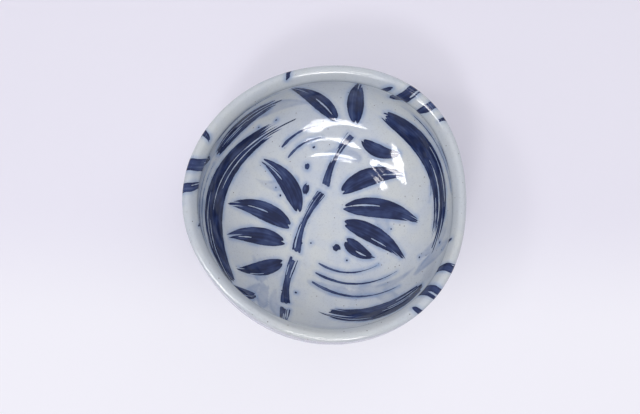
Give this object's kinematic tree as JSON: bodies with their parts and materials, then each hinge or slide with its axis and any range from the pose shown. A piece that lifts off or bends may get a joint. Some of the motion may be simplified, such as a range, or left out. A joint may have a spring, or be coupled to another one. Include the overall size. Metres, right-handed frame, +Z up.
{
  "type": "painted bowl",
  "caption": "Small hand-thrown porcelain tea bowl with a rounded, softly three-cornered lip, a low foot ring and cobalt bamboo brushwork under a clear glaze.",
  "frame": {"origin": "on the table, under the middle of the bowl's outline seen from above", "axes": "+Z up out of the bowl, +X to the right and +Y away in the pictured view"},
  "size_m": [0.1198, 0.1196, 0.0623],
  "materials": {
    "porcelain_clay": "bare fired porcelain, fine and dry",
    "clay_slip": "dry slip joint",
    "cobalt": "brushed cobalt pigment under glaze",
    "thin_cobalt": "thin cobalt wash under glaze",
    "clear_glaze": "glossy clear glaze with a pale cool tint"
  },
  "bodies": {
    "root": {"clay_body": "porcelain_clay", "foot_ring": "porcelain_clay", "foot_slip_seam": "clay_slip", "foot_well_glaze": "clear_glaze", "sweep_left": "cobalt", "sweep_right": "cobalt", "sweep_low": "cobalt", "stalk_joint_1": "cobalt", "stalk_joint_2": "cobalt", "stalk_joint_3": "cobalt", "stalk_joint_4": "cobalt", "leaf_1": "cobalt", "leaf_2": "cobalt", "leaf_3": "cobalt", "leaf_4": "cobalt", "leaf_5": "cobalt", "leaf_6": "cobalt", "leaf_7": "cobalt", "leaf_8": "cobalt", "leaf_9": "cobalt", "leaf_10": "cobalt", "blade_1": "thin_cobalt", "blade_2": "thin_cobalt", "blade_3": "thin_cobalt", "blade_4": "thin_cobalt", "blade_5": "thin_cobalt", "drop_1": "cobalt", "drop_2": "cobalt", "drop_3": "cobalt", "lip_mark_1": "cobalt", "lip_mark_2": "cobalt", "lip_mark_3": "cobalt", "lip_mark_4": "cobalt", "lip_mark_5": "cobalt", "lip_mark_6": "cobalt", "outside_leaf_1": "cobalt", "outside_leaf_2": "cobalt", "outside_leaf_3": "cobalt", "outside_leaf_4": "cobalt", "outside_leaf_5": "cobalt", "outside_leaf_6": "cobalt", "foot_line_1": "cobalt", "foot_line_2": "cobalt", "glaze_coat": "clear_glaze"}
  },
  "joints": []
}
